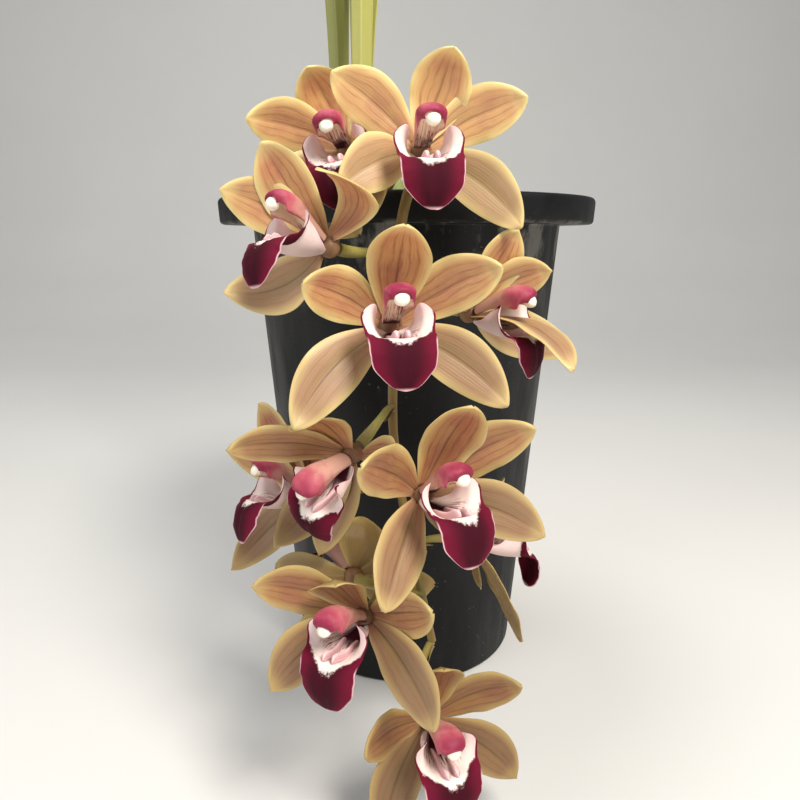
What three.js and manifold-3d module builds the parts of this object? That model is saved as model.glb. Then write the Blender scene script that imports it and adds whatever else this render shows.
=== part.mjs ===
// Potted orchid: a hanging spike of twelve blooms over the rim of a round nursery pot.
// Millimetres, +Z up. The origin is the centre of the pot's base, and the blooms face -Y.
import * as THREE from 'three';
import { mergeVertices } from 'three/addons/utils/BufferGeometryUtils.js';
import Module from 'manifold-3d';

const wasm = await Module();
wasm.setup();

// Driving dimensions.
const gap = 0.3;
const pot = { height: 255, rimRadius: 100, rimBand: 13, bodyTop: 82.5, baseRadius: 63, wall: 1.8, sides: 32 };
const base = { disc: 20, ringInside: 52, lift: 2, floor: 3.6, holes: 8, holeRadius: 5, holeRing: 36 };
const medium = { top: 234, relief: 4, rings: 6, sides: 16 };
const bulb = { radius: 14, height: 46, sunk: 9, sides: 10, rings: 8, hole: 40 };
const leaf = { width: 12, thick: 1, fold: 0.24, steps: 9 };
const stem = { radius: 2.5, tipRadius: 1.7, sides: 7, steps: 30 };
const pedicel = { radius: 1.5, ovary: 2.3, sides: 5, steps: 5 };
const hub = { radius: 4, back: 2 };
const blade = { thick: 1, root: 3.4, rootShare: 0.24, tipWidth: 1.2, columns: 3 };

// Leaves of each pseudobulb: [distance in front (-) or behind (+) its top, heading of the
// arch (degrees, -90 is to the front), how far the tip reaches out, how high it rises].
const bulbs = [
  { name: 'pseudobulb_front',
    at: [-24, 8],
    leaves: [
      [0, -70, 30, 400], [-2.6, -98, 90, 385], [-5.2, -76, 150, 345],
      [5.4, 62, 90, 380], [8, 44, 160, 335],
    ] },
  { name: 'pseudobulb_middle',
    at: [-39, 47],
    leaves: [[0, -110, 30, 410], [-2.6, -128, 110, 380], [5.4, 84, 100, 390], [8, 114, 165, 340]] },
  { name: 'pseudobulb_back', at: [-4, 58], leaves: [] },
];

// Length of each tepal comes with its bloom; the rest goes with its kind. A positive bow bulges
// backwards, so that the tip hooks over the column, and a positive sweep bulges clockwise.
const tepalKinds = [
  { width: 22, bow: 5, sweep: 0, cup: 0.28, widest: 0.58, rows: 5 }, // dorsal sepal
  { width: 19.5, bow: 2, sweep: 2, cup: 0.14, widest: 0.58, rows: 4 }, // left petal
  { width: 19.5, bow: 2, sweep: -2, cup: 0.14, widest: 0.58, rows: 4 }, // right petal
  { width: 20, bow: -2, sweep: 4, cup: 0.16, widest: 0.52, rows: 5 }, // left lateral sepal
  { width: 20, bow: -2, sweep: -4, cup: 0.16, widest: 0.52, rows: 5 }, // right lateral sepal
];

// Stations of the lip: forward, up, half its width along the surface, and how it curls across.
// It starts as a narrow claw, rises into two side lobes and hangs down as a broad tongue.
const lip = {
  thick: 0.9,
  across: 4,
  stations: [
    [1.8, -2.5, 3.2, 0.2],
    [6.5, -4.2, 9.5, 0.15],
    [11, -5, 14.7, 0.121],
    [15, -5.2, 18, 0.102],
    [18, -5, 16.7, 0.084],
    [20.5, -4.3, 12.6, 0.06],
    [24.5, -2.8, 11.3, -0.01],
    [28.6, -6.5, 11.5, -0.045],
    [29.5, -13, 10.4, -0.05],
    [27.5, -19.5, 6, -0.05],
  ],
};

// Stations of the column: forward, up, half width, half thickness.
const column = {
  sides: 8,
  stations: [
    [2.3, 1.8, 3.1, 2.2],
    [8, 5.8, 3.6, 2.5],
    [15, 10.6, 4.6, 3],
    [20.5, 11.6, 5, 3.2],
    [23.5, 10.2, 3.8, 2.5],
  ],
};

// The spike leaves the medium, arches over the front of the rim and hangs clear of the pot.
const stemRoute = [
  [-19.5, -9.5, 224], [-19, -11, 238], [-13, -25, 254], [-2, -52, 270], [7, -80, 278], [9, -98, 276],
  [4, -107, 264], [-2, -112, 246], [-5, -119, 220], [-6, -126, 190], [-6, -129, 160],
  [-2, -131, 130], [4, -133, 100], [10, -136, 72],
];

// Every bloom: its centre, its facing (yaw to the right, pitch up, roll to the right, degrees),
// where its tepals look if that differs (yaw, pitch), where its pedicel leaves the spike (share
// of the route), and its five tepals in the order of their kinds, each as [clock angle, lean
// towards the front, length, bow and sweep if not its kind's].
const blooms = [
  { at: [4, -126, 267], facing: [9, -5, 0], look: [-2, -5], node: 0.4,
    tepals: [[19, 12, 36], [-51, 10, 41], [65, 7, 42], [-117, 29, 37, -3, 3], [126, 5, 47]] },
  { at: [-24, -112, 269], facing: [-8, -10, -12], node: 0.34,
    tepals: [[-26, 10, 32], [-74, 9, 39], [45, 11, 28], [-138, 9, 33], [153, 29, 30, -2, -2]] },
  { at: [-30, -143, 233], facing: [-47, 12, -8], look: [-30, 5], node: 0.52,
    tepals: [[-31, -2, 41, 2, -2], [-62, -9, 43], [0, 34, 30, 10, 7],
      [-114, -11, 43, 4, -5], [71, -65, 27, -6, -2]] },
  { at: [-7, -152, 206], facing: [11, 4, 0], look: [2, 4], node: 0.58,
    tepals: [[9, 30, 40], [-61, 21, 35], [61, 12, 44], [-135, 26, 50], [123, 12, 50]] },
  { at: [25, -125, 207], facing: [56, -8, -6], look: [40, -5], node: 0.6,
    tepals: [[27, -4, 36, 0, 0], [19, 55, 33, 4, -2], [62, -13, 36],
      [117, 48, 51, -5, -7], [111, -15, 48, 10, 0]] },
  { at: [-22, -150, 157], facing: [-50, -38, 25], look: [-25, -20], node: 0.7,
    tepals: [[-45, 35, 30], [-83, 10, 44], [100, 15, 20], [-143, -14, 54, 7, -1], [-163, -11, 46, 8, 3]] },
  { at: [-43, -120, 131], facing: [-56, 12, -12], look: [-35, -5], node: 0.8,
    tepals: [[-30, -21, 44, 2, -2], [-73, -32, 47], [3, -9, 30], [-138, -8, 52, 10, 4], [-173, 13, 17]] },
  { at: [5, -162, 147], facing: [33, 6, 3], look: [20, 0], node: 0.76,
    tepals: [[23, 21, 42, 5, 2], [-46, 45, 41], [58, -1, 46], [-155, 42, 44, -2, 2], [109, 3, 46]] },
  { at: [28, -128, 114], facing: [105, -10, 0], node: 0.88,
    tepals: [[-4, -15, 37], [-49, -20, 30], [40, -50, 34], [176, -45, 40], [156, 8, 48]] },
  { at: [-17, -166, 101], facing: [-28, -6, -4], look: [-15, 0], node: 0.9,
    tepals: [[-23, 31, 25, 5, -5], [-75, -4, 42], [64, 33, 33, 0, 0], [-130, 3, 45], [139, 31, 46]] },
  { at: [-23, -136, 102], facing: [-150, -10, 0], node: 0.94,
    tepals: [[10, -20, 24], [-91, -15, 34], [85, -30, 36], [-148, -18, 49, 2, 2], [113, -28, 43]] },
  { at: [8, -160, 52], facing: [20, -11, -3], look: [10, 0], node: 1,
    tepals: [[8, 22, 35], [-94, 35, 30], [66, 0, 39], [-156, 19, 45], [129, -5, 46]] },
];

// Finishes.
const finish = (color, roughness) => new THREE.MeshStandardMaterial({ color, roughness, metalness: 0 });
const finishes = {
  plastic: finish(0x1b1c1f, 0.62),
  bark: finish(0x6b4a33, 0.95),
  bulb: finish(0x7d8a4a, 0.6),
  leaf: finish(0x8f9a3e, 0.5),
  stem: finish(0x8a7a3a, 0.55),
  tepal: finish(0xd19a62, 0.5),
  lip: finish(0x5c1830, 0.45),
  column: finish(0xe6b9a6, 0.45),
};

const radians = THREE.MathUtils.degToRad;
const vector = (x, y, z) => new THREE.Vector3(x, y, z);
const orchid = new THREE.Group();

function addPiece(name, geometry, material) {
  const mesh = new THREE.Mesh(geometry, material);
  mesh.name = name;
  orchid.add(mesh);
}

// Closed geometry and solids.

function indexedGeometry(points, triangles) {
  const geometry = new THREE.BufferGeometry();
  const numbers = points.flatMap((p) => [p.x, p.y, p.z]);
  geometry.setAttribute('position', new THREE.Float32BufferAttribute(numbers, 3));
  geometry.setIndex(triangles);
  return geometry;
}

function solidOf(geometry) {
  const bare = geometry.clone();
  bare.deleteAttribute('normal');
  bare.deleteAttribute('uv');
  const merged = mergeVertices(bare, 1e-4);
  return new wasm.Manifold(new wasm.Mesh({
    numProp: 3,
    vertProperties: new Float32Array(merged.attributes.position.array),
    triVerts: new Uint32Array(merged.index.array),
  }));
}

function geometryOf(solid) {
  const mesh = solid.getMesh();
  const geometry = new THREE.BufferGeometry();
  geometry.setAttribute('position', new THREE.Float32BufferAttribute(mesh.vertProperties, 3));
  geometry.setIndex(Array.from(mesh.triVerts));
  return geometry;
}

// One body from overlapping ones, without the scraps and sealed hollows that joining leaves.
function fuse(geometries) {
  const joined = geometries.map(solidOf).reduce((sum, solid) => sum.add(solid));
  const whole = joined.decompose().reduce((best, solid) => (solid.volume() > best.volume() ? solid : best));
  return whole.simplify(0.05);
}

// A sheet with two faces split alike and a wall round its border. Both faces are given at a
// share of the length and a place across (-1 to 1), and the back lies behind the front.
function sheet(rows, columns, front, back) {
  const points = [];
  for (const face of [front, back]) {
    for (let i = 0; i <= rows; i += 1) {
      for (let j = 0; j <= columns; j += 1) points.push(face(i / rows, (2 * j) / columns - 1));
    }
  }
  const half = (rows + 1) * (columns + 1);
  const at = (i, j) => i * (columns + 1) + j;
  const triangles = [];
  const wall = (p, q) => triangles.push(q, p, p + half, q, p + half, q + half);
  for (let i = 0; i < rows; i += 1) {
    for (let j = 0; j < columns; j += 1) {
      const [a, b, c, d] = [at(i, j), at(i, j + 1), at(i + 1, j + 1), at(i + 1, j)];
      triangles.push(a, b, c, a, c, d);
      triangles.push(c + half, b + half, a + half, d + half, c + half, a + half);
    }
  }
  for (let i = 0; i < rows; i += 1) {
    wall(at(i + 1, 0), at(i, 0));
    wall(at(i, columns), at(i + 1, columns));
  }
  for (let j = 0; j < columns; j += 1) {
    wall(at(0, j), at(0, j + 1));
    wall(at(rows, j + 1), at(rows, j));
  }
  return indexedGeometry(points, triangles);
}

// A closed rod through rings of points, each ring with the same number of points.
function rod(rings) {
  const sides = rings[0].length;
  const last = (rings.length - 1) * sides;
  const triangles = [];
  for (let i = 0; i < rings.length - 1; i += 1) {
    for (let j = 0; j < sides; j += 1) {
      const [a, b] = [i * sides + j, i * sides + ((j + 1) % sides)];
      triangles.push(a, b, b + sides, a, b + sides, a + sides);
    }
  }
  for (let j = 1; j < sides - 1; j += 1) {
    triangles.push(0, j + 1, j);
    triangles.push(last, last + j, last + j + 1);
  }
  return indexedGeometry(rings.flat(), triangles);
}

// A round rod along a curve; radiusAt gives its radius at each share of the length.
function tube(curve, steps, sides, radiusAt) {
  const frames = curve.computeFrenetFrames(steps, false);
  const rings = [];
  for (let i = 0; i <= steps; i += 1) {
    const centre = curve.getPointAt(i / steps);
    const radius = radiusAt(i / steps);
    rings.push(Array.from({ length: sides }, (unused, j) => {
      const angle = (2 * Math.PI * j) / sides;
      return centre.clone()
        .addScaledVector(frames.normals[i], radius * Math.cos(angle))
        .addScaledVector(frames.binormals[i], radius * Math.sin(angle));
    }));
  }
  return rod(rings);
}

function lathe(profile, sides) {
  const geometry = new THREE.LatheGeometry(profile.map(([r, z]) => new THREE.Vector2(r, z)), sides);
  geometry.rotateX(Math.PI / 2);
  return geometry;
}

// Pot: a tapered body, a stepped-out rim band and a base on a disc and a ring.
const insideRadius = (z) => {
  const share = (z - base.floor) / (pot.height - pot.rimBand - base.floor);
  return THREE.MathUtils.lerp(pot.baseRadius, pot.bodyTop, share) - pot.wall;
};
const shelf = pot.height - pot.rimBand;

function makePot() {
  const profile = [
    [0, 0], [base.disc, 0], [base.disc + base.lift, base.lift], [base.ringInside - base.lift, base.lift],
    [base.ringInside, 0], [pot.baseRadius - 2, 0], [pot.baseRadius, 2],
    [pot.bodyTop, shelf], [pot.rimRadius - 2, shelf], [pot.rimRadius - 0.6, shelf + 1.4],
    [pot.rimRadius, pot.height - 2], [pot.rimRadius - 0.7, pot.height - 0.4],
    [pot.rimRadius - 1.6, pot.height], [pot.rimRadius - 2.4, pot.height - 0.5],
    [pot.rimRadius - 3, shelf + pot.wall], [insideRadius(shelf), shelf + pot.wall],
    [insideRadius(base.floor), base.floor], [0, base.floor],
  ];
  let solid = solidOf(lathe(profile, pot.sides));
  for (let i = 0; i < base.holes; i += 1) {
    const angle = (2 * Math.PI * i) / base.holes;
    const drain = new THREE.CylinderGeometry(base.holeRadius, base.holeRadius, 20, 12);
    drain.rotateX(Math.PI / 2);
    drain.translate(base.holeRing * Math.cos(angle), base.holeRing * Math.sin(angle), 0);
    solid = solid.subtract(solidOf(drain));
  }
  addPiece('pot', geometryOf(solid), finishes.plastic);
}

// Potting medium: coarse bark, with lumps as relief and plain holes for what stands in it.
const lumps = (x, y) => Math.sin(x * 0.31 + 1.3) * Math.cos(y * 0.27) + 0.6 * Math.sin(x * 0.13 - y * 0.41);

function makeMedium() {
  const bottom = base.floor + gap;
  const points = [vector(0, 0, bottom)];
  const rimOf = (z) => insideRadius(z) - gap;
  const ring = (radius, zAt) => {
    for (let j = 0; j < medium.sides; j += 1) {
      const angle = (2 * Math.PI * j) / medium.sides;
      const [x, y] = [radius * Math.cos(angle), radius * Math.sin(angle)];
      points.push(vector(x, y, zAt(x, y)));
    }
  };
  const surface = (x, y) => medium.top + medium.relief * 0.5 * lumps(x, y);
  const edge = medium.top - medium.relief;
  ring(rimOf(bottom), () => bottom);
  ring(rimOf(edge), () => edge);
  for (let i = medium.rings; i > 0; i -= 1) ring((rimOf(edge) - 2) * (i / medium.rings), surface);
  points.push(vector(0, 0, surface(0, 0)));
  const triangles = [];
  const count = medium.sides;
  const top = points.length - 1;
  for (let j = 0; j < count; j += 1) {
    const next = (j + 1) % count;
    triangles.push(0, 1 + next, 1 + j);
    for (let i = 0; i < medium.rings + 1; i += 1) {
      const [a, b] = [1 + i * count + j, 1 + i * count + next];
      triangles.push(a, b, b + count, a, b + count, a + count);
    }
    const inner = 1 + (medium.rings + 1) * count;
    triangles.push(inner + j, inner + next, top);
  }
  let solid = solidOf(indexedGeometry(points, triangles));
  const cutHole = (x, y, radius, floor) => {
    const hole = new THREE.CylinderGeometry(radius, radius, bulb.hole, 14);
    hole.rotateX(Math.PI / 2);
    hole.translate(x, y, floor + bulb.hole / 2);
    solid = solid.subtract(solidOf(hole));
  };
  for (const { at } of bulbs) cutHole(at[0], at[1], bulb.radius + gap, medium.top - bulb.sunk - gap);
  const [x, y, z] = stemRoute[0];
  cutHole(x, y, stem.radius * 2, z - gap);
  addPiece('potting_medium', geometryOf(solid), finishes.bark);
}

// Pseudobulbs: ribbed ovals, each standing in its hole.
const bulbHalfWidth = (share) => bulb.radius * Math.sin(Math.PI * share ** 0.8) ** 0.7;

function makeBulb(name, [x, y]) {
  const profile = [];
  for (let i = 0; i <= bulb.rings; i += 1) {
    const share = i / bulb.rings;
    const radius = i % bulb.rings === 0 ? 0 : bulbHalfWidth(share);
    profile.push([radius, medium.top - bulb.sunk + bulb.height * share]);
  }
  const geometry = lathe(profile, bulb.sides);
  geometry.translate(x, y, 0);
  addPiece(name, geometryOf(solidOf(geometry)), finishes.bulb);
}

// Height of the bulb's upper half above its foot at a radius, along its straight rings.
function bulbHeightAt(radius) {
  let [upper, upperRadius] = [1, 0];
  for (let i = bulb.rings - 1; i > bulb.rings / 2; i -= 1) {
    const [lower, lowerRadius] = [i / bulb.rings, bulbHalfWidth(i / bulb.rings)];
    if (lowerRadius >= radius) {
      const part = (radius - upperRadius) / (lowerRadius - upperRadius);
      return bulb.height * THREE.MathUtils.lerp(upper, lower, part);
    }
    [upper, upperRadius] = [lower, lowerRadius];
  }
  return bulb.height * upper;
}

// Leaves: folded straps that stand nearly upright and arch over well above the rim. At its
// root every blade of a fan lies across the fan, and it turns to its own heading as it rises.
function makeLeaf(name, [x, y], [offset, headingDegrees, reach, rise]) {
  const heading = radians(headingDegrees);
  const out = vector(Math.cos(heading), Math.sin(heading), 0);
  const outward = Math.sign(out.y);
  const start = medium.top - bulb.sunk + gap + bulbHeightAt(0.88 * Math.max(Math.abs(offset) - 0.5, 0));
  const centre = (t) => vector(x, y + offset, start + rise * (t - 0.16 * t ** 3.2))
    .addScaledVector(out, reach * t ** 2.8);
  const along = (t) => centre(Math.min(t + 0.01, 1)).sub(centre(Math.max(t - 0.01, 0))).normalize();
  const side = (t) => vector(outward, 0, 0)
    .lerp(vector(out.y, -out.x, 0), THREE.MathUtils.smoothstep(t, 0.2, 0.8)).normalize();
  const halfWidth = (t) => (leaf.width / 2) * (0.7 + 0.3 * Math.sin(Math.PI * Math.min(t / 0.9, 1)))
    * Math.max(1 - t ** 6, 0.06);
  const face = (depth) => (t, v) => centre(t)
    .addScaledVector(side(t), halfWidth(t) * v)
    .addScaledVector(side(t).cross(along(t)), leaf.fold * 2 * halfWidth(t) * Math.abs(v) - depth);
  addPiece(name, sheet(leaf.steps, 2, face(0), face(leaf.thick)), finishes.leaf);
}

// Frame of a bloom: x to its right, y to its back, z to its top.
function bloomFrame({ at, facing: [yaw, pitch, roll] }) {
  const turn = new THREE.Euler(-radians(pitch), radians(roll), radians(yaw), 'ZXY');
  return new THREE.Matrix4().makeRotationFromEuler(turn).setPosition(...at);
}

const facingOf = (frame) => vector(0, -1, 0).transformDirection(frame);

// Half width of a tepal: a narrow root, its widest place past the middle and a pointed tip.
function tepalHalfWidth(t, { width, widest }) {
  if (t < widest) {
    const { rootShare } = blade;
    return (width / 2) * (rootShare + (1 - rootShare) * Math.sin((t / widest) * (Math.PI / 2)));
  }
  const rest = Math.cos(((t - widest) / (1 - widest)) * (Math.PI / 2)) ** 0.62;
  return Math.max((width / 2) * rest, blade.tipWidth / 2);
}

function tepal(centre, heart, look, [clock, lean, length, bow, sweep], form) {
  const [turn, tilt] = [radians(clock), radians(lean)];
  const reach = vector(Math.cos(tilt) * Math.sin(turn), -Math.sin(tilt), Math.cos(tilt) * Math.cos(turn));
  const root = heart.clone().addScaledVector(reach, blade.root);
  const axis = centre.clone().addScaledVector(reach, length).sub(root);
  const along = axis.clone().normalize();
  const normal = look.clone().addScaledVector(along, -look.dot(along)).normalize();
  const side = along.clone().cross(normal);
  const face = (depth) => (t, v) => {
    const half = tepalHalfWidth(t, form);
    const arch = 4 * t * (1 - t);
    const lift = form.cup * half * v * v - (bow ?? form.bow) * arch - depth;
    return root.clone()
      .addScaledVector(axis, t)
      .addScaledVector(side, half * v + (sweep ?? form.sweep) * arch)
      .addScaledVector(normal, lift);
  };
  return sheet(form.rows, blade.columns, face(0), face(blade.thick));
}

function makeLip(name, frame) {
  const { stations, across, thick } = lip;
  const rows = stations.length - 1;
  const face = (depth) => (t, v) => {
    const i = Math.round(t * rows);
    const [forward, up, half, curl] = stations[i];
    const [before, after] = [stations[Math.max(i - 1, 0)], stations[Math.min(i + 1, rows)]];
    const along = new THREE.Vector2(after[0] - before[0], after[1] - before[1]).normalize();
    const angle = -curl * v * half;
    const rise = (1 - Math.cos(angle)) / curl - depth * Math.cos(angle);
    const reach = Math.sin(angle) / curl + depth * Math.sin(angle);
    return vector(reach, -(forward - along.y * rise), up + along.x * rise);
  };
  const geometry = sheet(rows, across, face(0), face(thick));
  geometry.applyMatrix4(frame);
  addPiece(name, geometry, finishes.lip);
}

function makeColumn(name, frame) {
  const { stations, sides } = column;
  const rings = stations.map(([forward, up, halfWidth, halfThick], i) => {
    const before = stations[Math.max(i - 1, 0)];
    const after = stations[Math.min(i + 1, stations.length - 1)];
    const along = new THREE.Vector2(after[0] - before[0], after[1] - before[1]).normalize();
    return Array.from({ length: sides }, (unused, j) => {
      const angle = (2 * Math.PI * j) / sides;
      const across = halfWidth * Math.cos(angle);
      const rise = halfThick * Math.sin(angle);
      return vector(across, -(forward - along.y * rise), up + along.x * rise);
    });
  });
  const geometry = rod(rings);
  geometry.applyMatrix4(frame);
  addPiece(name, geometry, finishes.column);
}

function makeBloom(bloom, number) {
  const frame = bloomFrame(bloom);
  const centre = vector(...bloom.at);
  const heart = vector(0, hub.back, 0).applyMatrix4(frame);
  const looking = { at: bloom.at, facing: bloom.look ? [...bloom.look, 0] : bloom.facing };
  const look = facingOf(bloomFrame(looking));
  const knob = new THREE.SphereGeometry(hub.radius, 7, 4);
  knob.translate(...heart);
  const tepals = bloom.tepals.map((aim, i) => tepal(centre, heart, look, aim, tepalKinds[i]));
  addPiece(`bloom_${number}_tepals`, geometryOf(fuse([knob, ...tepals])), finishes.tepal);
  makeLip(`bloom_${number}_lip`, frame);
  makeColumn(`bloom_${number}_column`, frame);
}

// Spike: the stem, and a pedicel with its ovary to each bloom.
function makeSpike() {
  const route = new THREE.CatmullRomCurve3(stemRoute.map((p) => vector(...p)), false, 'centripetal');
  const stemRadius = (t) => THREE.MathUtils.lerp(stem.radius, stem.tipRadius, t ** 2);
  const swell = (t) => {
    const share = THREE.MathUtils.smoothstep(t, 0.4, 0.95);
    return THREE.MathUtils.lerp(pedicel.radius, pedicel.ovary, share);
  };
  const pieces = [tube(route, stem.steps, stem.sides, stemRadius)];
  for (const bloom of blooms) {
    const facing = facingOf(bloomFrame(bloom));
    const start = route.getPointAt(bloom.node);
    const end = vector(...bloom.at).addScaledVector(facing, -(hub.back + hub.radius + gap));
    const before = end.clone().addScaledVector(facing, -13);
    const leave = start.clone().lerp(before, 0.45).add(vector(0, 0, 3));
    const path = new THREE.CubicBezierCurve3(start, leave, before, end);
    pieces.push(tube(path, pedicel.steps, pedicel.sides, swell));
  }
  addPiece('flower_spike', geometryOf(fuse(pieces)), finishes.stem);
}

makePot();
makeMedium();
for (const { name, at, leaves } of bulbs) {
  makeBulb(name, at);
  leaves.forEach((arch, index) => makeLeaf(`${name}_leaf_${index + 1}`, at, arch));
}
makeSpike();
blooms.forEach((bloom, index) => makeBloom(bloom, index + 1));

export default orchid;
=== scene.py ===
import math

import bpy
import numpy as np
from mathutils import Matrix, Vector


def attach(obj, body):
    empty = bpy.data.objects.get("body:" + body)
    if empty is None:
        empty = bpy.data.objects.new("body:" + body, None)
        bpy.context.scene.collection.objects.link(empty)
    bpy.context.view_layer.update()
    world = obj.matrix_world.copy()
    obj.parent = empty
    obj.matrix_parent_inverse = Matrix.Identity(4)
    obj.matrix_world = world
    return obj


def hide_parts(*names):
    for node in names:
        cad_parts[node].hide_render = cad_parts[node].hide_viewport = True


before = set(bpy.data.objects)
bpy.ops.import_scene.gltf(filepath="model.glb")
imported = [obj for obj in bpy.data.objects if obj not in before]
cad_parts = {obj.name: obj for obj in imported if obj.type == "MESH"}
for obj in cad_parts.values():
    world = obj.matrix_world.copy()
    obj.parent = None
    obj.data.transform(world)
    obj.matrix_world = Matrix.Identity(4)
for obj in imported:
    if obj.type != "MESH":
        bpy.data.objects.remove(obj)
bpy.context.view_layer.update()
mm = 0.001
fullTurn = 2 * np.pi
rng = np.random.default_rng(41)
scene = bpy.context.scene


def tint(code):  # linear colour of a hex code
    parts = [int(code[i : i + 2], 16) / 255 for i in (0, 2, 4)]
    return tuple(p / 12.92 if p < 0.04045 else ((p + 0.055) / 1.055) ** 2.4 for p in parts) + (1.0,)


def tints(**codes):
    return {name: tint(code) for name, code in codes.items()}


def smoothStep(x, low, high):
    share = np.clip((x - low) / (high - low), 0, 1)
    return share * share * (3 - 2 * share)


def swell(x, width):  # a round rise about 0
    return np.exp(-((x / width) ** 2))


class Value:  # a node's output that can stand in a sum
    def __init__(self, graph, socket):
        self.graph, self.socket = graph, socket

    def __add__(self, other):
        return self.graph.math("ADD", self, other)

    def __sub__(self, other):
        return self.graph.math("SUBTRACT", self, other)

    def __rsub__(self, other):
        return self.graph.math("SUBTRACT", other, self)

    def __mul__(self, other):
        return self.graph.math("MULTIPLY", self, other)

    def __truediv__(self, other):
        return self.graph.math("DIVIDE", self, other)

    def __pow__(self, other):
        return self.graph.math("POWER", self, other)

    def __abs__(self):
        return self.graph.math("ABSOLUTE", self)


class Graph:  # short ways to add nodes to a shader or geometry tree
    def __init__(self, tree):
        self.tree = tree

    def feed(self, socket, value):
        if isinstance(value, Value):
            self.tree.links.new(value.socket, socket)
        else:
            socket.default_value = value

    def node(self, kind, values=(), **settings):
        node = self.tree.nodes.new(kind)
        for key, value in settings.items():
            setattr(node, key, value)
        for key, value in dict(values).items():
            self.feed(node.inputs[key], value)
        return node

    def outputs(self, node):
        return {item.name: Value(self, item) for item in node.outputs}

    def add(self, kind, values=(), out=0, **settings):
        return Value(self, self.node(kind, values, **settings).outputs[out])

    def math(self, operation, *values, clamp=False):
        return self.add("ShaderNodeMath", dict(enumerate(values)), operation=operation, use_clamp=clamp)

    def vector(self, operation, *values):
        return self.add("ShaderNodeVectorMath", dict(enumerate(values)), operation=operation)

    def scaled(self, vector, factor):
        return self.add("ShaderNodeVectorMath", {0: vector, "Scale": factor}, operation="SCALE")

    def smooth(self, value, low, high, fromValue=0.0, toValue=1.0):
        limits = {"Value": value, "From Min": low, "From Max": high, "To Min": fromValue, "To Max": toValue}
        return self.add("ShaderNodeMapRange", limits, interpolation_type="SMOOTHSTEP")

    def fall(self, value, low, high):
        return self.smooth(value, low, high, 1.0, 0.0)

    def mix(self, factor, a, b, blend="MIX"):
        return self.add("ShaderNodeMix", {0: factor, 6: a, 7: b}, out=2, data_type="RGBA", blend_type=blend)

    def layers(self, colour, *coats):  # each coat is a mask and a colour over what lies below
        for mask, coat in coats:
            colour = self.mix(mask, colour, coat)
        return colour

    def split(self, vector):
        return [Value(self, item) for item in self.node("ShaderNodeSeparateXYZ", {0: vector}).outputs]

    def join(self, x, y, z=0.0):
        return self.add("ShaderNodeCombineXYZ", {0: x, 1: y, 2: z})

    def noise(self, vector, scale, detail=2.0, roughness=0.5):
        values = {"Vector": vector, "Scale": scale, "Detail": detail, "Roughness": roughness}
        return self.add("ShaderNodeTexNoise", values)

    def stretched(self, place, scale, detail, roughness=0.5):  # noise with its own scale on each axis
        return self.noise(self.vector("MULTIPLY", place, scale), 1.0, detail, roughness)

    def uv(self):
        return self.add("ShaderNodeUVMap", uv_map="UVMap")

    def attribute(self, name):
        return self.add("ShaderNodeAttribute", out="Fac", attribute_name=name)

    def mottle(self, place, scale, low, high):
        values = {"Place": place, "Scale": scale, "Low": low, "High": high}
        return self.outputs(self.node("ShaderNodeGroup", values, node_tree=mottleTree))

    def veins(self, place, count, wander):
        values = {"UV": self.uv(), "Place": place, "Count": count, "Wander": wander}
        return self.outputs(self.node("ShaderNodeGroup", values, node_tree=veinTree))

    def paint(self, colour, height=None, strength=0.0, distance=0.0, roughness=None):
        inputs = self.tree.nodes["Principled BSDF"].inputs
        self.feed(inputs["Base Color"], colour)
        if height:
            values = {"Height": height, "Strength": strength, "Distance": distance}
            self.feed(inputs["Normal"], self.add("ShaderNodeBump", values))
        if roughness:
            self.feed(inputs["Roughness"], roughness)


def newTree(kind, name, inputs, outputs):
    tree = bpy.data.node_groups.new(name, kind)
    for label, socket, *default in inputs:
        made = tree.interface.new_socket(label, in_out="INPUT", socket_type="NodeSocket" + socket)
        if default:
            made.default_value = default[0]
    for label, socket in outputs:
        tree.interface.new_socket(label, in_out="OUTPUT", socket_type="NodeSocket" + socket)
    graph = Graph(tree)
    entry = graph.outputs(graph.node("NodeGroupInput"))
    return tree, graph, entry, graph.node("NodeGroupOutput").inputs


def geometryTree(name, *inputs):
    inputs = [("Geometry", "Geometry"), *inputs, ("Material", "Material")]
    return newTree("GeometryNodeTree", name, inputs, [("Geometry", "Geometry")])


def endTree(graph, entry, leave, geometry):  # a geometry tree ends in plain meshes with their material
    real = graph.add("GeometryNodeRealizeInstances", {"Geometry": geometry})
    dressed = graph.add("GeometryNodeSetMaterial", {"Geometry": real, "Material": entry["Material"]})
    graph.feed(leave["Geometry"], dressed)


def newMaterial(name, **settings):  # settings are the shader's own sockets
    material = bpy.data.materials.new(name)
    material.use_nodes = True
    for key, value in settings.items():
        material.node_tree.nodes["Principled BSDF"].inputs[key.replace("_", " ")].default_value = value
    graph = Graph(material.node_tree)
    return material, graph, graph.add("ShaderNodeTexCoord", out="Object")


# Shader groups that several materials share.
veinTree, g, entry, leave = newTree(
    "ShaderNodeTree",
    "parallel veins",
    [("UV", "Vector"), ("Place", "Vector"), ("Count", "Float", 12.0), ("Wander", "Float", 0.4)],
    [("Mask", "Float"), ("Midrib", "Float"), ("Across", "Float"), ("Along", "Float")],
)
u, v, _ = g.split(entry["UV"])
middle = u - 0.5
across = abs(middle) * 2.0
stray = (g.noise(entry["Place"], 95.0) - 0.5) * entry["Wander"]
lane = middle * entry["Count"] + stray
line = g.fall(g.math("PINGPONG", lane, 0.5), 0.02, 0.24)
strength = g.smooth(g.noise(g.join(lane * 0.7, v * 1.6), 2.3), 0.3, 0.72)
fade = g.fall(across, 0.6, 0.97) * g.fall(v, 0.72, 0.98)
g.feed(leave["Mask"], line * strength * fade)
g.feed(leave["Midrib"], g.fall(across, 0.0, 0.075) * g.fall(v, 0.6, 0.95))
g.feed(leave["Across"], across)
g.feed(leave["Along"], v)

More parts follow.
